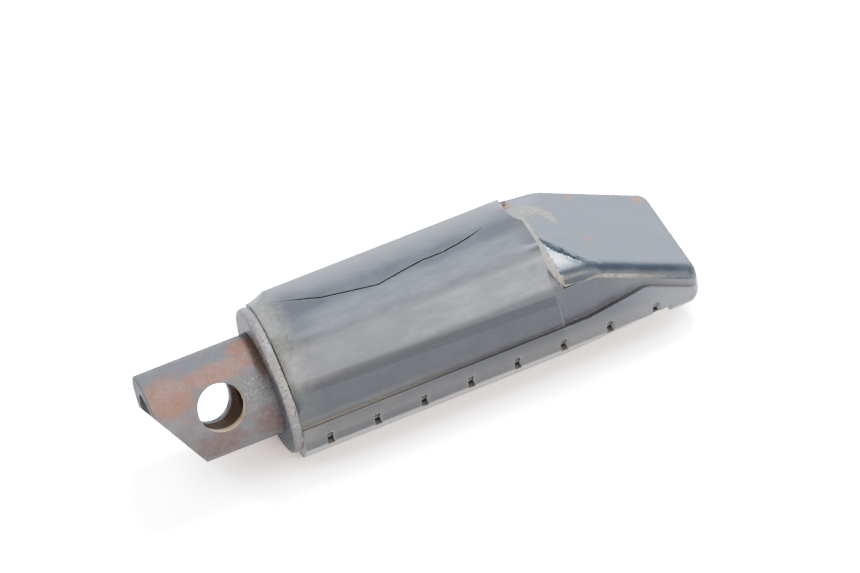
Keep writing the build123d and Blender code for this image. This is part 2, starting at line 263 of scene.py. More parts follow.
@dataclass
class Effects:
    """Wear, dirt and painted shade that several finishes share, each a node group that gives a mask or a
    height.
    """

    patch_fade: Ramp = Ramp(1.3, 0.6)
    patch_noise: tuple[float, float, float] = (0.6, 6, 0.66)
    cloud_detail: tuple[float, float] = (6, 0.62)
    crevice_fade: Ramp = Ramp(0.88, 0.45)
    crevice_rays: int = 8
    edge_fade: Ramp = Ramp(0.01, 0.12)
    edge_rays: int = 6
    fine_detail: tuple[float, float] = (3, 0.7)
    coarse_detail: tuple[float, float] = (3, 0.5)
    coarse_scale: float = 0.22
    fine_height: float = 0.4

    def __post_init__(self) -> None:
        """Draws every effect once."""
        self.spot = self._spot()
        self.cloud = self._cloud()
        self.crevice = self._crevice()
        self.edge = self._edge()
        self.grain = self._grain()

    def _start(self, name: str, inputs: dict[str, str], outputs: dict[str, str]) -> tuple[Sheet, Node, Node]:
        """Starts a node group.

        Args:
            name: The group's name.
            inputs: Input names to socket types.
            outputs: Output names to socket types.

        Returns:
            The sheet to draw on, its input node and its output node.
        """
        tree = bpy.data.node_groups.new(name, "ShaderNodeTree")
        for key, kind in inputs.items():
            tree.interface.new_socket(key, in_out="INPUT", socket_type=kind)
        for key, kind in outputs.items():
            tree.interface.new_socket(key, in_out="OUTPUT", socket_type=kind)
        sheet = Sheet(tree)
        return sheet, sheet.add("NodeGroupInput"), sheet.add("NodeGroupOutput")

    def _spot(self) -> bpy.types.NodeTree:
        """A ragged patch round a point of the part."""
        names = {"Place": "NodeSocketVector", "Centre": "NodeSocketVector", "Reach": "NodeSocketVector",
                 "Ragged": "NodeSocketFloat"}
        sheet, given, out = self._start("ragged_patch", names, {"Mask": "NodeSocketFloat"})
        away = sheet.vector(Step.SUBTRACT, given.outputs["Place"], given.outputs["Centre"])
        share = sheet.vector(Step.LENGTH, sheet.vector(Step.DIVIDE, away, given.outputs["Reach"]))
        noise = sheet.noise(given.outputs["Place"], *self.patch_noise)
        rough = sheet.both(sheet.calc(Step.SUBTRACT, noise, NOISE_MIDDLE), given.outputs["Ragged"])
        sheet.feed(out.inputs["Mask"], sheet.fade(sheet.calc(Step.ADD, share, rough), self.patch_fade))
        return sheet.tree

    def _cloud(self) -> bpy.types.NodeTree:
        """Cloudy blotches."""
        names = {"Place": "NodeSocketVector", "Scale": "NodeSocketFloat", "Low": "NodeSocketFloat",
                 "High": "NodeSocketFloat"}
        sheet, given, out = self._start("cloudy_blotches", names, {"Mask": "NodeSocketFloat"})
        noise = sheet.noise(given.outputs["Place"], given.outputs["Scale"], *self.cloud_detail)
        sheet.feed(out.inputs["Mask"], sheet.fade(noise, Ramp(given.outputs["Low"], given.outputs["High"])))
        return sheet.tree

    def _crevice(self) -> bpy.types.NodeTree:
        """How deep a point lies in a groove, a crack or an inner corner."""
        names = {"Reach": "NodeSocketFloat"}
        sheet, given, out = self._start("deep_crevices", names, {"Mask": "NodeSocketFloat"})
        sky = sheet.add("ShaderNodeAmbientOcclusion", {"Distance": given.outputs["Reach"]},
                        samples=self.crevice_rays, only_local=True)
        sheet.feed(out.inputs["Mask"], sheet.fade(sky.outputs["AO"], self.crevice_fade))
        return sheet.tree

    def _edge(self) -> bpy.types.NodeTree:
        """Where the surface turns a corner, and the normal that rounds the corner off."""
        shown = {"Mask": "NodeSocketFloat", "Normal": "NodeSocketVector"}
        sheet, given, out = self._start("turned_edges", {"Radius": "NodeSocketFloat"}, shown)
        soft = sheet.add("ShaderNodeBevel", {"Radius": given.outputs["Radius"]}, samples=self.edge_rays)
        flat = sheet.add("ShaderNodeNewGeometry").outputs["Normal"]
        turned = sheet.calc(Step.SUBTRACT, 1.0, sheet.vector(Step.DOT_PRODUCT, soft.outputs[0], flat))
        sheet.feed(out.inputs["Mask"], sheet.fade(turned, self.edge_fade))
        sheet.feed(out.inputs["Normal"], soft.outputs[0])
        return sheet.tree

    def _grain(self) -> bpy.types.NodeTree:
        """Fine roughness of a cast, moulded or rusted surface, as a height."""
        names = {"Place": "NodeSocketVector", "Scale": "NodeSocketFloat"}
        sheet, given, out = self._start("fine_grain", names, {"Height": "NodeSocketFloat"})
        fine = sheet.noise(given.outputs["Place"], given.outputs["Scale"], *self.fine_detail)
        wide = sheet.calc(Step.MULTIPLY, given.outputs["Scale"], self.coarse_scale)
        coarse = sheet.noise(given.outputs["Place"], wide, *self.coarse_detail)
        sheet.feed(out.inputs["Height"], sheet.calc(Step.ADD, sheet.both(fine, self.fine_height), coarse))
        return sheet.tree


class Surface:
    """A material while it is painted. Each coat covers the ones before it."""

    def __init__(self, name: str, effects: Effects) -> None:
        """Starts the material.

        Args:
            name: The material's name.
            effects: The shared effects.
        """
        self.material = bpy.data.materials.new(name)
        self.material.use_nodes = True
        self.shader = self.material.node_tree.nodes["Principled BSDF"]
        self.sheet = Sheet(self.material.node_tree)
        self.effects = effects
        self.colour: Colour | Socket | None = None
        metres = self.sheet.add("ShaderNodeTexCoord").outputs["Object"]
        self.place = self.sheet.vector(Step.MULTIPLY, metres, (MM_PER_M, MM_PER_M, MM_PER_M))
        self.x, self.y, self.z = self.sheet.add("ShaderNodeSeparateXYZ", {0: self.place}).outputs

    def ground(self, colour: Colour) -> None:
        """Sets the colour under every coat."""
        self.colour = colour

    def coat(self, mask: Socket, colour: Colour | Socket) -> None:
        """Lays a colour over what is there, as far as its mask shows."""
        self.colour = self.sheet.lay(mask, self.colour, colour)

    def stretched(self, share: Point) -> Socket:
        """The point on the piece with each of its coordinates multiplied."""
        return self.sheet.vector(Step.MULTIPLY, self.place, share)

    def cloud(self, blotches: Blotches, place: Socket | None = None) -> Socket:
        """A mask of cloudy blotches, read at the point on the piece unless another place is given."""
        inputs = {"Place": place or self.place, "Scale": blotches.scale, "Low": blotches.low,
                  "High": blotches.high}
        return self.sheet.use(self.effects.cloud, inputs).outputs["Mask"]

    def patches(self, *several: Patch) -> Socket:
        """One mask for one or more patches.

        Args:
            *several: The patches.

        Returns:
            The mask.
        """
        masks = []
        for patch in several:
            inputs = {"Place": self.place, "Centre": patch.centre, "Reach": patch.reach,
                      "Ragged": patch.ragged}
            masks.append(self.sheet.use(self.effects.spot, inputs).outputs["Mask"])
        return self.sheet.either(*masks)

    def crevice(self, reach: float) -> Socket:
        """A mask of grooves, cracks and inner corners no wider than about twice the reach, in metres."""
        return self.sheet.use(self.effects.crevice, {"Reach": reach}).outputs["Mask"]

    def edge(self, radius: float | Socket) -> Node:
        """The node with the mask and the normal of corners rounded to a radius, in metres."""
        return self.sheet.use(self.effects.edge, {"Radius": radius})

    def grain(self, scale: float) -> Socket:
        """The height of a fine grain with so many features to a millimetre."""
        return self.sheet.use(self.effects.grain, {"Place": self.place, "Scale": scale}).outputs["Height"]

    def finish(self, roughness: float | Socket, height: Socket, depth: float, normal: Socket) -> None:
        """Gives the shader the coats, their roughness and a surface relief.

        Args:
            roughness: The roughness.
            height: The relief's height, from 0 to 1.
            depth: What a height of 1 stands for, in metres.
            normal: The normal that the relief starts from.
        """
        inputs = {"Strength": 1.0, "Distance": depth, "Height": height, "Normal": normal}
        bump = self.sheet.add("ShaderNodeBump", inputs)
        self.sheet.feed(self.shader.inputs["Base Color"], self.colour)
        self.sheet.feed(self.shader.inputs["Roughness"], roughness)
        self.sheet.feed(self.shader.inputs["Normal"], bump.outputs[0])


@dataclass(frozen=True)
class Finish:
    """A surface finish: its material's name and slot, how metallic it is, and its rounded corners.

    Colours are linear. Places and stretches are in millimetres, radii and reliefs in metres.
    """

    name: str
    slot: str
    metallic: float = 0.0
    edge_radius: float = 0.0003

    def material(self, effects: Effects) -> bpy.types.Material:
        """Makes the material.

        Args:
            effects: The shared effects.

        Returns:
            The material.
        """
        surface = Surface(self.name, effects)
        surface.shader.inputs["Metallic"].default_value = self.metallic
        self.dress(surface)
        return surface.material

    def dress(self, surface: Surface) -> None:
        """Paints the finish's own coats."""
        raise NotImplementedError


@dataclass(frozen=True)
class TubeFinish(Finish):
    """Grey primer on steel, rubbed through to brown rust, with painted light and painted shade on the cut
    walls and in the tube.
    """

    primer: Colour = (0.078, 0.08, 0.088)
    film: Colour = (0.1, 0.07, 0.057)
    rust: Colour = (0.185, 0.07, 0.032)
    deep_rust: Colour = (0.082, 0.04, 0.026)
    bare: Colour = (0.13, 0.126, 0.12)
    bright: Colour = (0.5, 0.44, 0.38)
    # Cut walls: a pale rust and a lit interior colour stand for painted light, and a near black for painted
    # shade.
    lit_ochre: Colour = (0.55, 0.34, 0.15)
    wall: Colour = (0.17, 0.12, 0.09)
    inside: Colour = (0.36, 0.28, 0.23)
    hollow_shade: Colour = (0.03, 0.027, 0.025)
    film_clouds: Blotches = Blotches(0.35, 0.4, 0.62)
    fine_clouds: Blotches = Blotches(1.7, 0.42, 0.64)
    fleck_clouds: Blotches = Blotches(3.0, 0.6, 0.68)
    film_cover: float = 0.6
    fine_cover: float = 0.35
    rust_cover: Ramp = Ramp(0.0, 1.0, 0.78, 0.95)
    deep_cover: Ramp = Ramp(0.0, 1.0, 0.55, 0.9)
    bare_cover: Ramp = Ramp(0.0, 1.0, 0.9, 0.5)
    fleck_cover: float = 0.75
    flecks_on_rust: float = 0.25
    across_tube: Point = (0.0, 1.0, 1.0)
    wall_radius: Ramp = Ramp(10.9, 10.7)
    low_wall: Ramp = Ramp(3.5, -0.5)
    far_wall: Ramp = Ramp(2.0, -2.0)
    inside_radius: Ramp = Ramp(7.5, 7.3)
    lit_inside: Span = Span(-4.5, 5.5, 1.5)
    open_end: Ramp = Ramp(-7.0, -9.0)
    rim_end: Ramp = Ramp(-9.0, -11.0)
    rim_cover: float = 0.6
    gloss: Ramp = Ramp(0.0, 1.0, 0.5, 0.66)
    grain_scale: float = 2.0
    grain_height: float = 0.5
    rust_pits: float = 0.3
    deep_pits: float = 0.5
    pit_height: float = 1.2
    relief: float = 0.00012
    rust_places: tuple[Patch, ...] = (
        Patch((-9.3, -4.5, 9.8), (5.2, 5.0, 4.4), 1.5),
        Patch((2.0, -3.2, 10.4), (8.6, 2.6, 2.8), 1.7),
        Patch((8.5, 0.5, 11.0), (3.5, 2.6, 2.0), 2.0),
    )
    deep_places: tuple[Patch, ...] = (
        Patch((-3.0, -11.0, -1.5), (6.5, 3.0, 4.0), 1.6),
        Patch((10.6, -3.5, 10.2), (1.3, 7.0, 4.0), 1.6),
        Patch((8.6, -10.6, -0.5), (4.0, 3.0, 4.5), 1.8),
    )
    pitted_place: Patch = Patch((7.6, -8.6, 7.0), (3.8, 2.6, 3.2), 1.5)

    def dress(self, surface: Surface) -> None:
        """Paints primer, rust, the pitted zone beside the bore, and the cut walls with their painted light
        and shade.
        """
        sheet = surface.sheet
        clouds = surface.cloud(self.film_clouds)
        fine = surface.cloud(self.fine_clouds)
        flecks = surface.cloud(self.fleck_clouds)
        rusty = surface.patches(*self.rust_places)
        deep = surface.patches(*self.deep_places)
        pitted = surface.patches(self.pitted_place)
        surface.ground(self.primer)
        surface.coat(sheet.both(clouds, self.film_cover), self.film)
        surface.coat(sheet.both(fine, self.fine_cover), self.film)
        surface.coat(sheet.both(rusty, sheet.fade(fine, self.rust_cover)), self.rust)
        surface.coat(sheet.both(deep, sheet.fade(fine, self.deep_cover)), self.deep_rust)
        surface.coat(sheet.both(pitted, sheet.fade(fine, self.bare_cover)), self.bare)
        bright = sheet.either(sheet.both(flecks, pitted), sheet.both(flecks, rusty, self.flecks_on_rust))
        surface.coat(sheet.both(bright, self.fleck_cover), self.bright)
        walled = self.cut_walls(surface, fine)
        edge = surface.edge(self.edge_radius)
        rim = sheet.both(edge.outputs["Mask"], sheet.fade(surface.x, self.rim_end))
        surface.coat(sheet.both(rim, self.rim_cover), self.bright)
        eaten = sheet.either(pitted, sheet.both(rusty, self.rust_pits), sheet.both(deep, self.deep_pits))
        grain = sheet.both(surface.grain(self.grain_scale), self.grain_height)
        height = sheet.calc(Step.ADD, grain, sheet.both(eaten, fine, self.pit_height))
        surface.finish(sheet.fade(clouds, self.gloss), height, self.relief,
                       self.round_normal(surface, walled, edge))

    def cut_walls(self, surface: Surface, fine: Socket) -> Socket:
        """Paints the bore's rusty walls with painted light low down and painted shade on the far side, a
        painted lit band on the tube's interior by the bore, and painted shade at its open end.

        Args:
            surface: The tube's surface.
            fine: Fine blotches.

        Returns:
            Where the cut walls are.
        """
        sheet = surface.sheet
        from_axis = sheet.vector(Step.LENGTH, surface.stretched(self.across_tube))
        walled = sheet.fade(from_axis, self.wall_radius)
        height = sheet.calc(Step.ADD, sheet.calc(Step.ADD, surface.y, surface.z), fine)
        # Painted light: the rust is made pale on the lower walls and stays darker brown on the upper ones.
        stained_and_lit = sheet.lay(sheet.fade(height, self.low_wall), self.wall, self.lit_ochre)
        # Painted shade: the far side of the walls is near black.
        far_side = sheet.fade(sheet.calc(Step.SUBTRACT, surface.z, surface.y), self.far_wall)
        surface.coat(walled, sheet.lay(far_side, stained_and_lit, self.hollow_shade))
        # Painted light: the tube's interior is paler by the bore and darker rust further along.
        lit = sheet.lay(sheet.band(surface.x, self.lit_inside), self.deep_rust, self.inside)
        surface.coat(sheet.fade(from_axis, self.inside_radius), lit)
        # Painted shade: the walls at the open end are near black.
        surface.coat(sheet.both(sheet.fade(surface.x, self.open_end), walled), self.hollow_shade)
        return walled

    def round_normal(self, surface: Surface, walled: Socket, edge: Node) -> Socket:
        """The true round normal outside, and the corners' own normal on the cut walls and at their rims.

        Args:
            surface: The tube's surface.
            walled: Where the cut walls are.
            edge: The node that gives the corners' mask and normal.

        Returns:
            The normal.
        """
        sheet = surface.sheet
        outward = sheet.vector(Step.NORMALIZE, surface.stretched(self.across_tube))
        world = sheet.add("ShaderNodeVectorTransform", {0: outward}, vector_type="NORMAL",
                          convert_from="OBJECT", convert_to="WORLD")
        cut = sheet.either(walled, edge.outputs["Mask"])
        inputs = {"Factor": cut, 4: world.outputs[0], 5: edge.outputs["Normal"]}
        return sheet.add("ShaderNodeMix", inputs, data_type="VECTOR").outputs[1]


@dataclass(frozen=True)
class WasherFinish(Finish):
    """Bare steel, hammered by use, flecked with rust and old paint, with painted shade low down and on the
    front face.
    """

    steel: Colour = (0.175, 0.168, 0.165)
    rust: Colour = (0.2, 0.15, 0.132)
    pale: Colour = (0.5, 0.45, 0.32)
    # The dark colour of the pits, also used as painted shade towards the bottom; the colour after it is
    # painted shade on the front face.
    pit_and_shade: Colour = (0.055, 0.048, 0.046)
    shade: Colour = (0.06, 0.064, 0.075)
    rust_clouds: Blotches = Blotches(0.45, 0.4, 0.62)
    fleck_clouds: Blotches = Blotches(1.4, 0.5, 0.64)
    pit_clouds: Blotches = Blotches(1.6, 0.54, 0.66)
    pit_stretch: Point = (1.6, -1.0, 1.0)
    fleck_cover: Ramp = Ramp(15.0, 8.0, 0.25, 0.65)
    pit_cover: float = 0.65
    low_shade: Ramp = Ramp(14.0, -6.0, 0.0, 0.65)
    front_face: Ramp = Ramp(11.8, 11.5)
    front_height: Span = Span(-9.0, 9.0, 3.0)
    front_cover: float = 0.85
    gloss: Ramp = Ramp(0.0, 1.0, 0.4, 0.55)
    grain_scale: float = 1.3
    pit_depth: float = 0.6
    relief: float = 0.00016

    def dress(self, surface: Surface) -> None:
        """Paints a pale, flecked rim, painted shade that darkens it towards the bottom, and a front face
        darkened with painted shade.
        """
        sheet = surface.sheet
        flecks = surface.cloud(self.fleck_clouds)
        pits = surface.cloud(self.pit_clouds, surface.stretched(self.pit_stretch))
        surface.ground(self.steel)
        surface.coat(surface.cloud(self.rust_clouds), self.rust)
        surface.coat(sheet.both(flecks, sheet.fade(surface.z, self.fleck_cover)), self.pale)
        surface.coat(sheet.both(pits, self.pit_cover), self.pit_and_shade)
        # Painted shade: darker towards the bottom.
        surface.coat(sheet.fade(surface.z, self.low_shade), self.pit_and_shade)
        # Painted shade: the front face is darker.
        front = sheet.both(sheet.fade(surface.x, self.front_face), sheet.band(surface.z, self.front_height))
        surface.coat(sheet.both(front, self.front_cover), self.shade)
        height = sheet.calc(Step.SUBTRACT, surface.grain(self.grain_scale), sheet.both(pits, self.pit_depth))
        edge = surface.edge(self.edge_radius)
        surface.finish(sheet.fade(flecks, self.gloss), height, self.relief, edge.outputs["Normal"])


@dataclass(frozen=True)
class WeldFinish(Finish):
    """Weld metal, dark and rippled."""

    metal: Colour = (0.16, 0.15, 0.15)
    brown: Colour = (0.15, 0.09, 0.06)
    brown_clouds: Blotches = Blotches(0.9, 0.4, 0.62)
    roughness: float = 0.55
    grain_scale: float = 1.4
    relief: float = 0.0003

    def dress(self, surface: Surface) -> None:
        """Paints dark metal with brown blotches."""
        surface.ground(self.metal)
        surface.coat(surface.cloud(self.brown_clouds), self.brown)
        edge = surface.edge(self.edge_radius)
        surface.finish(self.roughness, surface.grain(self.grain_scale), self.relief, edge.outputs["Normal"])


@dataclass(frozen=True)
class PlateFinish(Finish):
    """Gloss paint, chipped to primer and rust at the sleeve's edge and along the flange."""

    paint: Colour = (0.012, 0.017, 0.024)
    haze: Colour = (0.035, 0.042, 0.052)
    primer: Colour = (0.3, 0.255, 0.19)
    rust: Colour = (0.42, 0.17, 0.08)
    haze_clouds: Blotches = Blotches(0.25, 0.42, 0.7)
    chip_clouds: Blotches = Blotches(1.3, 0.45, 0.6)
    haze_cover: float = 0.5
    chip_cover: Ramp = Ramp(0.0, 1.0, 0.6, 0.95)
    rust_cover: float = 0.5
    patch_cover: float = 0.75
    ragged_scale: float = 0.9
    ragged_reach: float = 2.4
    rim_lean: Ramp = Ramp(-5.0, -12.0, 0.0, 0.7)
    rim_width: Ramp = Ramp(73.45, 72.9)
    rim_across: Ramp = Ramp(5.0, 3.0)
    plate_fall: float = 0.517
    low_line: Ramp = Ramp(74.5, 83.0, 46.3, 49.3)
    low_width: Ramp = Ramp(0.4, 0.05)
    low_ragged: float = 0.2
    low_across: Ramp = Ramp(-12.6, -13.4)
    low_cover: Ramp = Ramp(99.0, 84.0, 0.1, 0.75)
    tip_length: Ramp = Ramp(101.0, 102.0)
    tip_across: Ramp = Ramp(-9.0, -12.0)
    tip_cover: float = 0.7
    gloss: Ramp = Ramp(0.0, 1.0, 0.19, 0.26)
    flange_dulling: Ramp = Ramp(-10.5, -13.0, 0.0, 0.2)
    worn_dulling: float = 0.4
    fold_start: tuple[float, float] = (74.0, -5.0)
    fold_slant: float = 0.89
    fold_width: Span = Span(-2.2, 0.4, 1.2)
    fold_length: Span = Span(73.0, 82.0, 1.5)
    dent_noise: tuple[float, float, float] = (0.8, 2, 0.4)
    dent_height: float = 0.35
    ripple_noise: tuple[float, float, float] = (0.1, 1, 0.4)
    ripple_height: float = 0.5
    chip_depth: float = -0.1
    relief: float = 0.0004
    primer_places: tuple[Patch, ...] = (
        Patch((73.8, 6.2, 12.6), (3.0, 2.5, 2.2), 1.5),
        Patch((76.2, 6.1, 11.6), (2.4, 1.5, 2.0), 1.5),
        Patch((78.0, 4.9, 10.9), (1.7, 1.6, 1.8), 1.3),
        Patch((79.0, 3.2, 10.3), (0.9, 1.9, 1.4), 1.1),
    )
    rust_places: tuple[Patch, ...] = (
        Patch((71.8, 10.2, 12.0), (1.0, 2.2, 1.6), 1.0),
        Patch((85.7, 11.3, 6.9), (1.4, 0.8, 0.8), 1.9),
        Patch((83.9, -4.0, 7.9), (0.6, 0.5, 0.6), 1.2),
        Patch((100.4, 10.8, -0.7), (1.7, 0.9, 1.2), 2.2),
    )

    def dress(self, surface: Surface) -> None:
        """Paints gloss paint with its haze, chips and rust spots."""
        sheet = surface.sheet
        dull = surface.cloud(self.haze_clouds)
        edge = surface.edge(self.edge_radius)
        bare = self.bare_places(surface, edge.outputs["Mask"])
        rusty = surface.patches(*self.rust_places)
        broken = sheet.fade(surface.cloud(self.chip_clouds), self.chip_cover)
        surface.ground(self.paint)
        surface.coat(sheet.both(dull, self.haze_cover), self.haze)
        surface.coat(sheet.both(bare, broken), self.primer)
        surface.coat(sheet.both(rusty, self.rust_cover), self.rust)
        rough = sheet.calc(Step.ADD, sheet.fade(dull, self.gloss), sheet.fade(surface.y, self.flange_dulling))
        rough = sheet.calc(Step.ADD, rough, sheet.both(sheet.either(bare, rusty), self.worn_dulling))
        surface.finish(rough, self.dented(surface, bare), self.relief, edge.outputs["Normal"])

    def bare_places(self, surface: Surface, corners: Socket) -> Socket:
        """Where the paint is gone: the patch by the sleeve, the rim along it, the low edge and the tip.

        Args:
            surface: The plate's surface.
            corners: Where the surface turns a corner.

        Returns:
            The mask.
        """
        sheet = surface.sheet
        x, y, z = surface.x, surface.y, surface.z
        ragged = sheet.jitter(surface.place, self.ragged_scale, self.ragged_reach)
        patch = sheet.both(surface.patches(*self.primer_places), self.patch_cover)
        inward = sheet.calc(Step.SUBTRACT, sheet.calc(Step.ADD, x, ragged), sheet.fade(y, self.rim_lean))
        rim = sheet.both(sheet.fade(inward, self.rim_width), sheet.fade(y, self.rim_across))
        along = sheet.calc(Step.ADD, z, sheet.calc(Step.MULTIPLY, x, self.plate_fall))
        above = sheet.calc(Step.SUBTRACT, along, sheet.fade(x, self.low_line))
        scraped = sheet.fade(sheet.calc(Step.ADD, above, sheet.both(ragged, self.low_ragged)), self.low_width)
        low_edge = sheet.both(scraped, sheet.fade(y, self.low_across), sheet.fade(x, self.low_cover))
        tip = sheet.both(corners, sheet.fade(x, self.tip_length), sheet.fade(y, self.tip_across))
        return sheet.either(patch, rim, low_edge, sheet.both(tip, self.tip_cover))

    def dented(self, surface: Surface, bare: Socket) -> Socket:
        """The paint's height: dents along the ear's fold, a slight ripple, and chips.

        Args:
            surface: The plate's surface.
            bare: Where the paint is gone.

        Returns:
            The height.
        """
        sheet = surface.sheet
        start_x, start_y = self.fold_start
        slant = sheet.both(sheet.calc(Step.SUBTRACT, surface.x, start_x), self.fold_slant)
        bend = sheet.calc(Step.ADD, slant, sheet.calc(Step.SUBTRACT, surface.y, start_y))
        hammered = sheet.both(sheet.band(bend, self.fold_width), sheet.band(surface.x, self.fold_length))
        dents = sheet.both(sheet.noise(surface.place, *self.dent_noise), hammered, self.dent_height)
        ripple = sheet.both(sheet.noise(surface.place, *self.ripple_noise), self.ripple_height)
        return sheet.calc(Step.ADD, sheet.calc(Step.ADD, dents, ripple), sheet.both(bare, self.chip_depth))


@dataclass(frozen=True)
class GripFinish(Finish):
    """Aged black rubber with a grey bloom, scuffs, dusty dirt, a painted highlight on the far shoulder, and
    painted shade under the side, on the lower sleeve and in the cracks.
    """

    black: Colour = (0.028, 0.029, 0.033)
    bloom: Colour = (0.068, 0.07, 0.076)
    # Paler colour of the lower slab, towards its bottom and the tip.
    paler_slab: Colour = (0.115, 0.108, 0.102)
    scuff: Colour = (0.17, 0.173, 0.182)
    shade: Colour = (0.014, 0.0135, 0.0145)
    # Pale colour of the painted highlight along the far shoulder.
    shoulder_highlight: Colour = (0.34, 0.345, 0.35)
    moss: Colour = (0.25, 0.235, 0.185)
    tan: Colour = (0.27, 0.235, 0.19)
    # Near black for painted shade in the cracks and notches.
    crevice_shade: Colour = (0.012, 0.011, 0.011)
    bloom_clouds: Blotches = Blotches(0.1, 0.36, 0.66)
    streak_clouds: Blotches = Blotches(0.35, 0.38, 0.7)
    rubbed_clouds: Blotches = Blotches(0.5, 0.3, 0.72)
    fleck_clouds: Blotches = Blotches(0.9, 0.38, 0.62)
    drawn_out: Point = (0.4, 1.0, 1.0)
    bloom_cover: Ramp = Ramp(0.0, 1.0, 0.2, 0.5)
    off_middle: Ramp = Ramp(1.0, 4.0)
    # Where the painted highlight lies on the far shoulder.
    highlight_across: Ramp = Ramp(3.0, 10.0)
    highlight_height: Ramp = Ramp(10.5, 13.5)
    highlight_cover: float = 0.65
    corner_height: Span = Span(14.7, 15.95, 0.9)
    corner_length: Span = Span(26.0, 66.0, 8.0)
    corner_cover: Ramp = Ramp(0.0, 1.0, 0.3, 0.5)
    side_height: Span = Span(8.6, 13.5, 1.2)
    side_cover: Ramp = Ramp(20.0, 66.0, 0.3, 0.8)
    streak_cover: Ramp = Ramp(0.0, 1.0, 0.55, 1.0)
    # Where the painted shade lies: a band under the side, and the skirt below it.
    band_fall: float = 0.046
    band_level: Span = Span(6.9, 8.9, 0.9)
    band_cover: float = 0.85
    skirt_level: Ramp = Ramp(8.0, 6.5)
    skirt_cover: float = 0.5
    sleeve_end: Ramp = Ramp(72.0, 71.7)
    moss_ragged: tuple[float, float] = (0.5, 6.0)
    moss_length: Ramp = Ramp(20.5, 12.5)
    moss_height: Ramp = Ramp(4.0, 14.0, 0.1, 1.0)
    moss_cover: Ramp = Ramp(0.0, 1.0, 0.6, 0.95)
    slab_height: Ramp = Ramp(-3.0, -7.0)
    slab_cover: Ramp = Ramp(30.0, 90.0, 0.2, 0.6)
    tip_cover: Ramp = Ramp(82.0, 98.0, 0.0, 0.5)
    outer_wall: Ramp = Ramp(12.0, 13.5)
    ledge_height: Span = Span(-6.0, -1.5, 1.5)
    ledge_cover: Ramp = Ramp(62.0, 20.0, 0.1, 1.0)
    ledge_streaks: float = 0.3
    first_notch: float = 19.3
    notch_pitch: float = 10.45
    notch_height: Ramp = Ramp(-8.0, -9.0)
    notch_width: Span = Span(0.0, 1.3, 0.2)
    flash_lines: Span = Span(0.95, 1.05, 0.2)
    flash_length: Ramp = Ramp(71.7, 60.0)
    flash_height: Span = Span(-11.0, -5.0, 1.0)
    flash_cover: float = 0.2
    tan_cover: float = 0.55
    # Where the painted shade in the cracks and notches lies, and how dark it is.
    crevice_shade_height: Ramp = Ramp(8.0, 10.0)
    crevice_shade_cover: float = 0.85
    crack_reach: float = 0.0006
    corner_reach: float = 0.0025
    worn_radius: float = 0.0032
    worn_across: Ramp = Ramp(4.5, 6.5)
    worn_height: Ramp = Ramp(0.5, 3.5)
    worn_length: Ramp = Ramp(71.0, 68.0)
    lip_length: Ramp = Ramp(68.7, 70.2)
    lip_height: Ramp = Ramp(14.5, 15.5)
    lip_cover: float = 0.3
    gloss: Ramp = Ramp(0.0, 1.0, 0.42, 0.5)
    corner_roughness: float = 0.6
    sheen_weight: float = 1.0
    sheen_roughness: float = 0.3
    grain_scale: float = 1.6
    grain_height: float = 0.35
    wave_stretch: Point = (0.3, 1.0, 1.0)
    wave_noise: tuple[float, float, float] = (0.12, 2, 0.5)
    wave_height: float = 3.0
    relief: float = 0.0001

    def dress(self, surface: Surface) -> None:
        """Paints bloom, the sleeve's wear with its painted highlight and shade, dirt with painted shade in
        the cracks, and the corners' own wear.
        """
        sheet = surface.sheet
        clouds = surface.cloud(self.bloom_clouds)
        drawn = surface.stretched(self.drawn_out)
        streaks = sheet.fade(surface.cloud(self.streak_clouds, drawn), self.streak_cover)
        across = sheet.calc(Step.ABSOLUTE, surface.y)
        surface.ground(self.black)
        surface.coat(sheet.fade(clouds, self.bloom_cover), self.bloom)
        corner = self.wear_and_light_sleeve(surface, across, streaks)
        self.dirty_and_shade(surface, across, streaks)
        edge = surface.edge(self.rounding(surface, across))
        ends = sheet.either(sheet.fade(surface.x, self.lip_length), sheet.fade(surface.z, self.lip_height))
        surface.coat(sheet.both(edge.outputs["Mask"], ends, self.lip_cover), self.scuff)
        rough = sheet.either(sheet.fade(clouds, self.gloss), sheet.both(corner, self.corner_roughness))
        surface.shader.inputs["Sheen Weight"].default_value = self.sheen_weight
        surface.shader.inputs["Sheen Roughness"].default_value = self.sheen_roughness
        waves = sheet.noise(surface.stretched(self.wave_stretch), *self.wave_noise)
        grain = sheet.both(surface.grain(self.grain_scale), self.grain_height)
        height = sheet.calc(Step.ADD, grain, sheet.both(waves, self.wave_height))
        surface.finish(rough, height, self.relief, edge.outputs["Normal"])

    def wear_and_light_sleeve(self, surface: Surface, across: Socket, streaks: Socket) -> Socket:
        """Paints the scuffed corner and side, a painted highlight along the far shoulder, and painted shade
        on the band and skirt under them.

        Args:
            surface: The rubber's surface.
            across: Distance from the middle.
            streaks: Streaks along the peg.

        Returns:
            Where the corner is scuffed.
        """
        sheet = surface.sheet
        x, y, z = surface.x, surface.y, surface.z
        off_middle = sheet.fade(across, self.off_middle)
        # Painted highlight: a pale band along the far shoulder.
        shoulder = sheet.both(sheet.fade(y, self.highlight_across), sheet.fade(z, self.highlight_height))
        surface.coat(sheet.both(shoulder, self.highlight_cover), self.shoulder_highlight)
        rubbed = surface.cloud(self.rubbed_clouds, surface.stretched(self.drawn_out))
        corner = sheet.both(sheet.band(z, self.corner_height), off_middle, sheet.band(x, self.corner_length))
        surface.coat(sheet.both(corner, sheet.fade(rubbed, self.corner_cover)), self.scuff)
        side = sheet.both(sheet.band(z, self.side_height), off_middle, sheet.fade(x, self.side_cover))
        surface.coat(sheet.both(side, streaks), self.scuff)
        # Painted shade: a dark band under the scuffed side, and the sleeve's lower half darker.
        level = sheet.calc(Step.ADD, z, sheet.calc(Step.MULTIPLY, x, self.band_fall))
        dark = sheet.both(sheet.band(level, self.band_level), off_middle, self.band_cover)
        skirt = sheet.both(sheet.fade(level, self.skirt_level), self.skirt_cover)
        surface.coat(sheet.both(sheet.either(dark, skirt), sheet.fade(x, self.sleeve_end)), self.shade)
        return corner

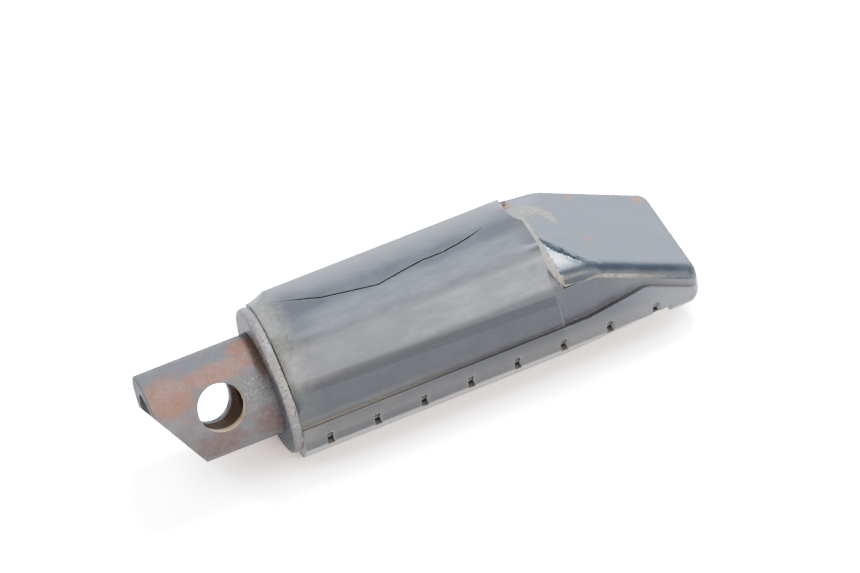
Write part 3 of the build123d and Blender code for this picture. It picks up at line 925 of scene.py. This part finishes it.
    def dirty_and_shade(self, surface: Surface, across: Socket, streaks: Socket) -> None:
        """Paints moss at the washer, a lower slab paler towards its bottom, a dusty tip, ledge and notches,
        and painted shade in the cracks and notches.

        Args:
            surface: The rubber's surface.
            across: Distance from the middle.
            streaks: Streaks along the peg.
        """
        sheet = surface.sheet
        x, z = surface.x, surface.z
        ragged = sheet.calc(Step.ADD, x, sheet.jitter(surface.place, *self.moss_ragged))
        mossy = sheet.both(sheet.fade(ragged, self.moss_length), sheet.fade(z, self.moss_height))
        flecks = sheet.fade(surface.cloud(self.fleck_clouds), self.moss_cover)
        surface.coat(sheet.both(mossy, flecks), self.moss)
        # The lower slab is painted paler towards its bottom and towards the tip.
        slab = sheet.both(sheet.fade(z, self.slab_height), sheet.fade(x, self.slab_cover))
        surface.coat(slab, self.paler_slab)
        surface.coat(sheet.fade(x, self.tip_cover), self.scuff)
        corners = surface.crevice(self.corner_reach)
        outer = sheet.fade(across, self.outer_wall)
        ledge = sheet.both(sheet.band(z, self.ledge_height), outer, sheet.fade(x, self.ledge_cover))
        dusty = sheet.both(ledge, sheet.either(corners, sheet.both(streaks, self.ledge_streaks)))
        in_tread = sheet.fade(z, self.notch_height)
        notch = sheet.both(in_tread, self.beside_notch(surface, self.notch_width), corners)
        tan = sheet.either(dusty, notch, sheet.both(self.flash(surface), outer))
        surface.coat(sheet.both(tan, self.tan_cover), self.tan)
        # Painted shade: cracks and notches darkened from the crevice mask.
        shaded_cracks = sheet.both(surface.crevice(self.crack_reach), self.crevice_shade_cover)
        surface.coat(sheet.both(shaded_cracks, sheet.either(sheet.fade(z, self.crevice_shade_height), in_tread)), self.crevice_shade)

    def rounding(self, surface: Surface, across: Socket) -> Socket:
        """How far the corners are rounded: widely on the sleeve's shoulders, hardly elsewhere.

        Args:
            surface: The rubber's surface.
            across: Distance from the middle.

        Returns:
            The radius.
        """
        sheet = surface.sheet
        shoulder = sheet.both(sheet.fade(across, self.worn_across), sheet.fade(surface.z, self.worn_height))
        worn = sheet.both(shoulder, sheet.fade(surface.x, self.worn_length), self.worn_radius)
        return sheet.calc(Step.ADD, worn, self.edge_radius)

    def flash(self, surface: Surface) -> Socket:
        """A mask of the thin mould lines that run up from each notch's sides to the ledge."""
        sheet = surface.sheet
        beside = self.beside_notch(surface, self.flash_lines)
        place = sheet.both(sheet.fade(surface.x, self.flash_length), sheet.band(surface.z, self.flash_height))
        return sheet.both(beside, place, self.flash_cover)

    def beside_notch(self, surface: Surface, distance: Span) -> Socket:
        """A mask between two distances from the middle of the nearest notch."""
        sheet = surface.sheet
        past_first = sheet.calc(Step.SUBTRACT, surface.x, self.first_notch)
        return sheet.band(sheet.calc(Step.PINGPONG, past_first, self.notch_pitch / 2), distance)


@dataclass
class DressedNode:
    """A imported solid's shape, merged, smoothed and given its finish."""

    node: str
    name: str
    finish: Finish
    smooth_angle: float = math.radians(35.0)
    merge: float = 0.000001
    flat_angle: float = math.radians(0.2)

    def build(self, effects: Effects) -> bpy.types.Object:
        """Makes the piece and lets it stand for its solid.

        Args:
            effects: The shared effects.

        Returns:
            The piece.
        """
        piece = self.merged_copy()
        self.smooth(piece)
        piece.data.materials.clear()
        piece.data.materials.append(self.finish.material(effects))
        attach(piece, ROOT)
        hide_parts(self.node)
        return piece

    def merged_copy(self) -> bpy.types.Object:
        """A copy of the solid's mesh with its loose triangles joined."""
        piece = bpy.data.objects.new(self.name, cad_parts[self.node].data.copy())
        bpy.context.scene.collection.objects.link(piece)
        choose(piece)
        bpy.ops.object.mode_set(mode="EDIT")
        bpy.ops.mesh.select_all(action="SELECT")
        bpy.ops.mesh.remove_doubles(threshold=self.merge)
        bpy.ops.object.mode_set(mode="OBJECT")
        return piece

    def smooth(self, piece: bpy.types.Object) -> None:
        """Smooths the curved faces and keeps the flat ones flat.

        Args:
            piece: The piece.
        """
        choose(piece)
        bpy.ops.object.shade_smooth_by_angle(angle=self.smooth_angle)
        solid = bmesh.new()
        solid.from_mesh(piece.data)
        areas = self.flat_areas(solid)
        corners = [(face, corner.vert) for face in solid.faces for corner in face.loops]
        normals = [self.corner_normal(face, vert, areas) for face, vert in corners]
        solid.free()
        piece.data.normals_split_custom_set(normals)

    def flat_areas(self, solid: bmesh.types.BMesh) -> list[float]:
        """Measures, for each face, the whole flat that it is a part of.

        Args:
            solid: The piece's mesh.

        Returns:
            The flats' areas, in the order of the faces.
        """
        areas = [0.0] * len(solid.faces)
        seen = set()
        for start in solid.faces:
            if start in seen:
                continue
            seen.add(start)
            flat = [start]
            for face in flat:
                for other in {other for edge in face.edges for other in edge.link_faces} - seen:
                    if other.normal.angle(start.normal, 0.0) < self.flat_angle:
                        seen.add(other)
                        flat.append(other)
            whole = sum(face.calc_area() for face in flat)
            for face in flat:
                areas[face.index] = whole
        return areas

    def corner_normal(self, face: bmesh.types.BMFace, corner: bmesh.types.BMVert,
                      areas: list[float]) -> Vector:
        """The mean normal of the faces that meet smoothly at a corner, a wide flat's normal first.

        Args:
            face: The face.
            corner: The corner's vertex.
            areas: Each face's whole flat.

        Returns:
            The normal.
        """
        near = math.cos(self.smooth_angle)
        total = Vector()
        for other in corner.link_faces:
            if other.normal.dot(face.normal) > near:
                total += other.normal * areas[other.index]
        return total.normalized() if total.length else face.normal.copy()


@dataclass(frozen=True)
class Softbox:
    """An area light that faces the peg and stays out of the picture."""

    name: str
    place: Point
    size: tuple[float, float]
    watts: float
    colour: Colour
    aim: Point = (0.05, 0.0, 0.0)

    def build(self) -> bpy.types.Object:
        """Hangs the light."""
        data = bpy.data.lights.new(self.name, "AREA")
        data.shape = "RECTANGLE"
        data.size, data.size_y = self.size
        data.energy = self.watts
        data.color = self.colour
        light = bpy.data.objects.new(self.name, data)
        bpy.context.scene.collection.objects.link(light)
        light.location = self.place
        light.visible_camera = False
        light.rotation_mode = "QUATERNION"
        light.rotation_quaternion = (Vector(self.aim) - Vector(self.place)).to_track_quat("-Z", "Y")
        return light


@dataclass(frozen=True)
class PhotoCamera:
    """The photograph's camera, in degrees and metres, aimed a little beside a point of the peg."""

    azimuth: float = -13.65
    elevation: float = 42.0
    roll: float = -12.22
    distance: float = 0.88659
    centre: Point = (0.048, 0.0, 0.0)
    aim_right: float = 0.00037
    aim_up: float = 0.0064
    focal_pixels: float = 4293.08
    image_width: float = 860.0
    sensor: float = 36.0
    nearest: float = 0.05
    farthest: float = 20.0

    def build(self) -> bpy.types.Object:
        """Sets the camera up and makes it the scene's."""
        azimuth, elevation, roll = (math.radians(a) for a in (self.azimuth, self.elevation, self.roll))
        back = Vector((math.sin(azimuth) * math.cos(elevation), -math.cos(azimuth) * math.cos(elevation),
                       math.sin(elevation)))
        level = Vector((math.cos(azimuth), math.sin(azimuth), 0.0))
        upright = back.cross(level)
        right = math.cos(roll) * level + math.sin(roll) * upright
        up = -math.sin(roll) * level + math.cos(roll) * upright
        target = Vector(self.centre) + self.aim_right * right + self.aim_up * up
        data = bpy.data.cameras.new("photo_camera")
        data.sensor_width = self.sensor
        data.lens = self.focal_pixels / self.image_width * self.sensor
        data.clip_start = self.nearest
        data.clip_end = self.farthest
        camera = bpy.data.objects.new("photo_camera", data)
        bpy.context.scene.collection.objects.link(camera)
        turn = Matrix((right, up, back)).transposed().to_4x4()
        camera.matrix_world = Matrix.Translation(target + self.distance * back) @ turn
        bpy.context.scene.camera = camera
        return camera


@dataclass(frozen=True)
class Studio:
    """White paper under soft light, burnt out in the picture, so it looks brighter than it lights the peg."""

    paper_size: float = 6.0
    paper_colour: Colour = (0.9, 0.89, 0.88)
    paper_glare: Colour = (11.0, 10.7, 10.5)
    paper_shade: Colour = (2.4, 2.05, 1.85)
    paper_middle: tuple[float, float] = (0.05, 0.0)
    shade_reach: float = 0.015
    shade_fade: Ramp = Ramp(0.88, 0.3)
    shade_rays: int = 16
    sky_colour: Colour = (1.0, 0.96, 0.93)
    sky_strength: float = 0.5
    lights: tuple[Softbox, ...] = (
        Softbox("lamp", (0.45, 0.26, 1.08), (0.28, 0.28), 26.0, COOL_LIGHT),
        Softbox("ceiling", (0.1, 0.15, 1.4), (1.2, 1.2), 7.0, COOL_LIGHT),
        Softbox("far_side", (0.75, 0.85, 0.32), (1.3, 0.6), 14.0, COOL_LIGHT),
        Softbox("near_side", (0.38, -1.05, 0.42), (1.1, 0.46), 22.0, WARM_LIGHT),
    )

    def build(self) -> None:
        """Lays the paper, lights the room and hangs the lights."""
        self.lay_paper()
        self.light_room()
        for light in self.lights:
            light.build()

    def lay_paper(self) -> None:
        """Lays the paper under the peg, burnt out for the camera, with a painted shadow where the peg comes
        near.
        """
        choose()
        bpy.ops.mesh.primitive_plane_add(size=self.paper_size, location=(*self.paper_middle, cad_box[0].z))
        paper = bpy.context.object
        paper.name = "paper"
        paper.data.transform(paper.matrix_world)
        paper.matrix_world = Matrix.Identity(4)
        material = bpy.data.materials.new("white_paper")
        material.use_nodes = True
        material.node_tree.nodes.clear()
        sheet = Sheet(material.node_tree)
        seen = sheet.add("ShaderNodeLightPath").outputs["Is Camera Ray"]
        # Painted shadow: an occlusion mask darkens the paper near the peg.
        sky = sheet.add("ShaderNodeAmbientOcclusion", {"Distance": self.shade_reach},
                        samples=self.shade_rays)
        bright = sheet.lay(sheet.fade(sky.outputs["AO"], self.shade_fade), self.paper_glare, self.paper_shade)
        white = sheet.add("ShaderNodeBsdfDiffuse", {"Color": sheet.lay(seen, self.paper_colour, bright)})
        sheet.add("ShaderNodeOutputMaterial", {"Surface": white.outputs[0]})
        paper.data.materials.append(material)

    def light_room(self) -> None:
        """Fills the room with soft light."""
        world = bpy.data.worlds.new("soft_room")
        bpy.context.scene.world = world
        world.use_nodes = True
        background = world.node_tree.nodes["Background"]
        background.inputs["Color"].default_value = (*self.sky_colour, 1.0)
        background.inputs["Strength"].default_value = self.sky_strength


def choose(*objects: bpy.types.Object) -> None:
    """Selects only the given objects and makes the first active.

    Args:
        *objects: The objects to select.
    """
    bpy.ops.object.select_all(action="DESELECT")
    for item in objects:
        item.select_set(True)
    if objects:
        bpy.context.view_layer.objects.active = objects[0]


def main() -> None:
    """Builds the scene, piece by piece."""
    effects = Effects()
    weld = WeldFinish("weld_metal", "weld_steel", metallic=0.6)
    pieces = (
        DressedNode("peg_tube", "rusted_tube", TubeFinish("primed_rusty_steel", "rusted_tube_steel")),
        DressedNode("stop_washer", "worn_washer", WasherFinish("worn_speckled_steel", "worn_washer_steel")),
        DressedNode("washer_weld", "washer_bead", weld),
        DressedNode("end_plate", "painted_plate", PlateFinish("chipped_gloss_paint", "gloss_black_plate",
                                                           edge_radius=0.0009)),
        DressedNode("plate_weld", "plate_beads", weld),
        DressedNode("grip_rubber", "aged_grip", GripFinish("aged_rubber", "aged_black_rubber")),
    )
    for piece in pieces:
        built = piece.build(effects)
        log.info("%s stands for %s: %d faces", built.name, piece.node, len(built.data.polygons))
    Studio().build()
    PhotoCamera().build()


if __name__ == "__main__":
    main()
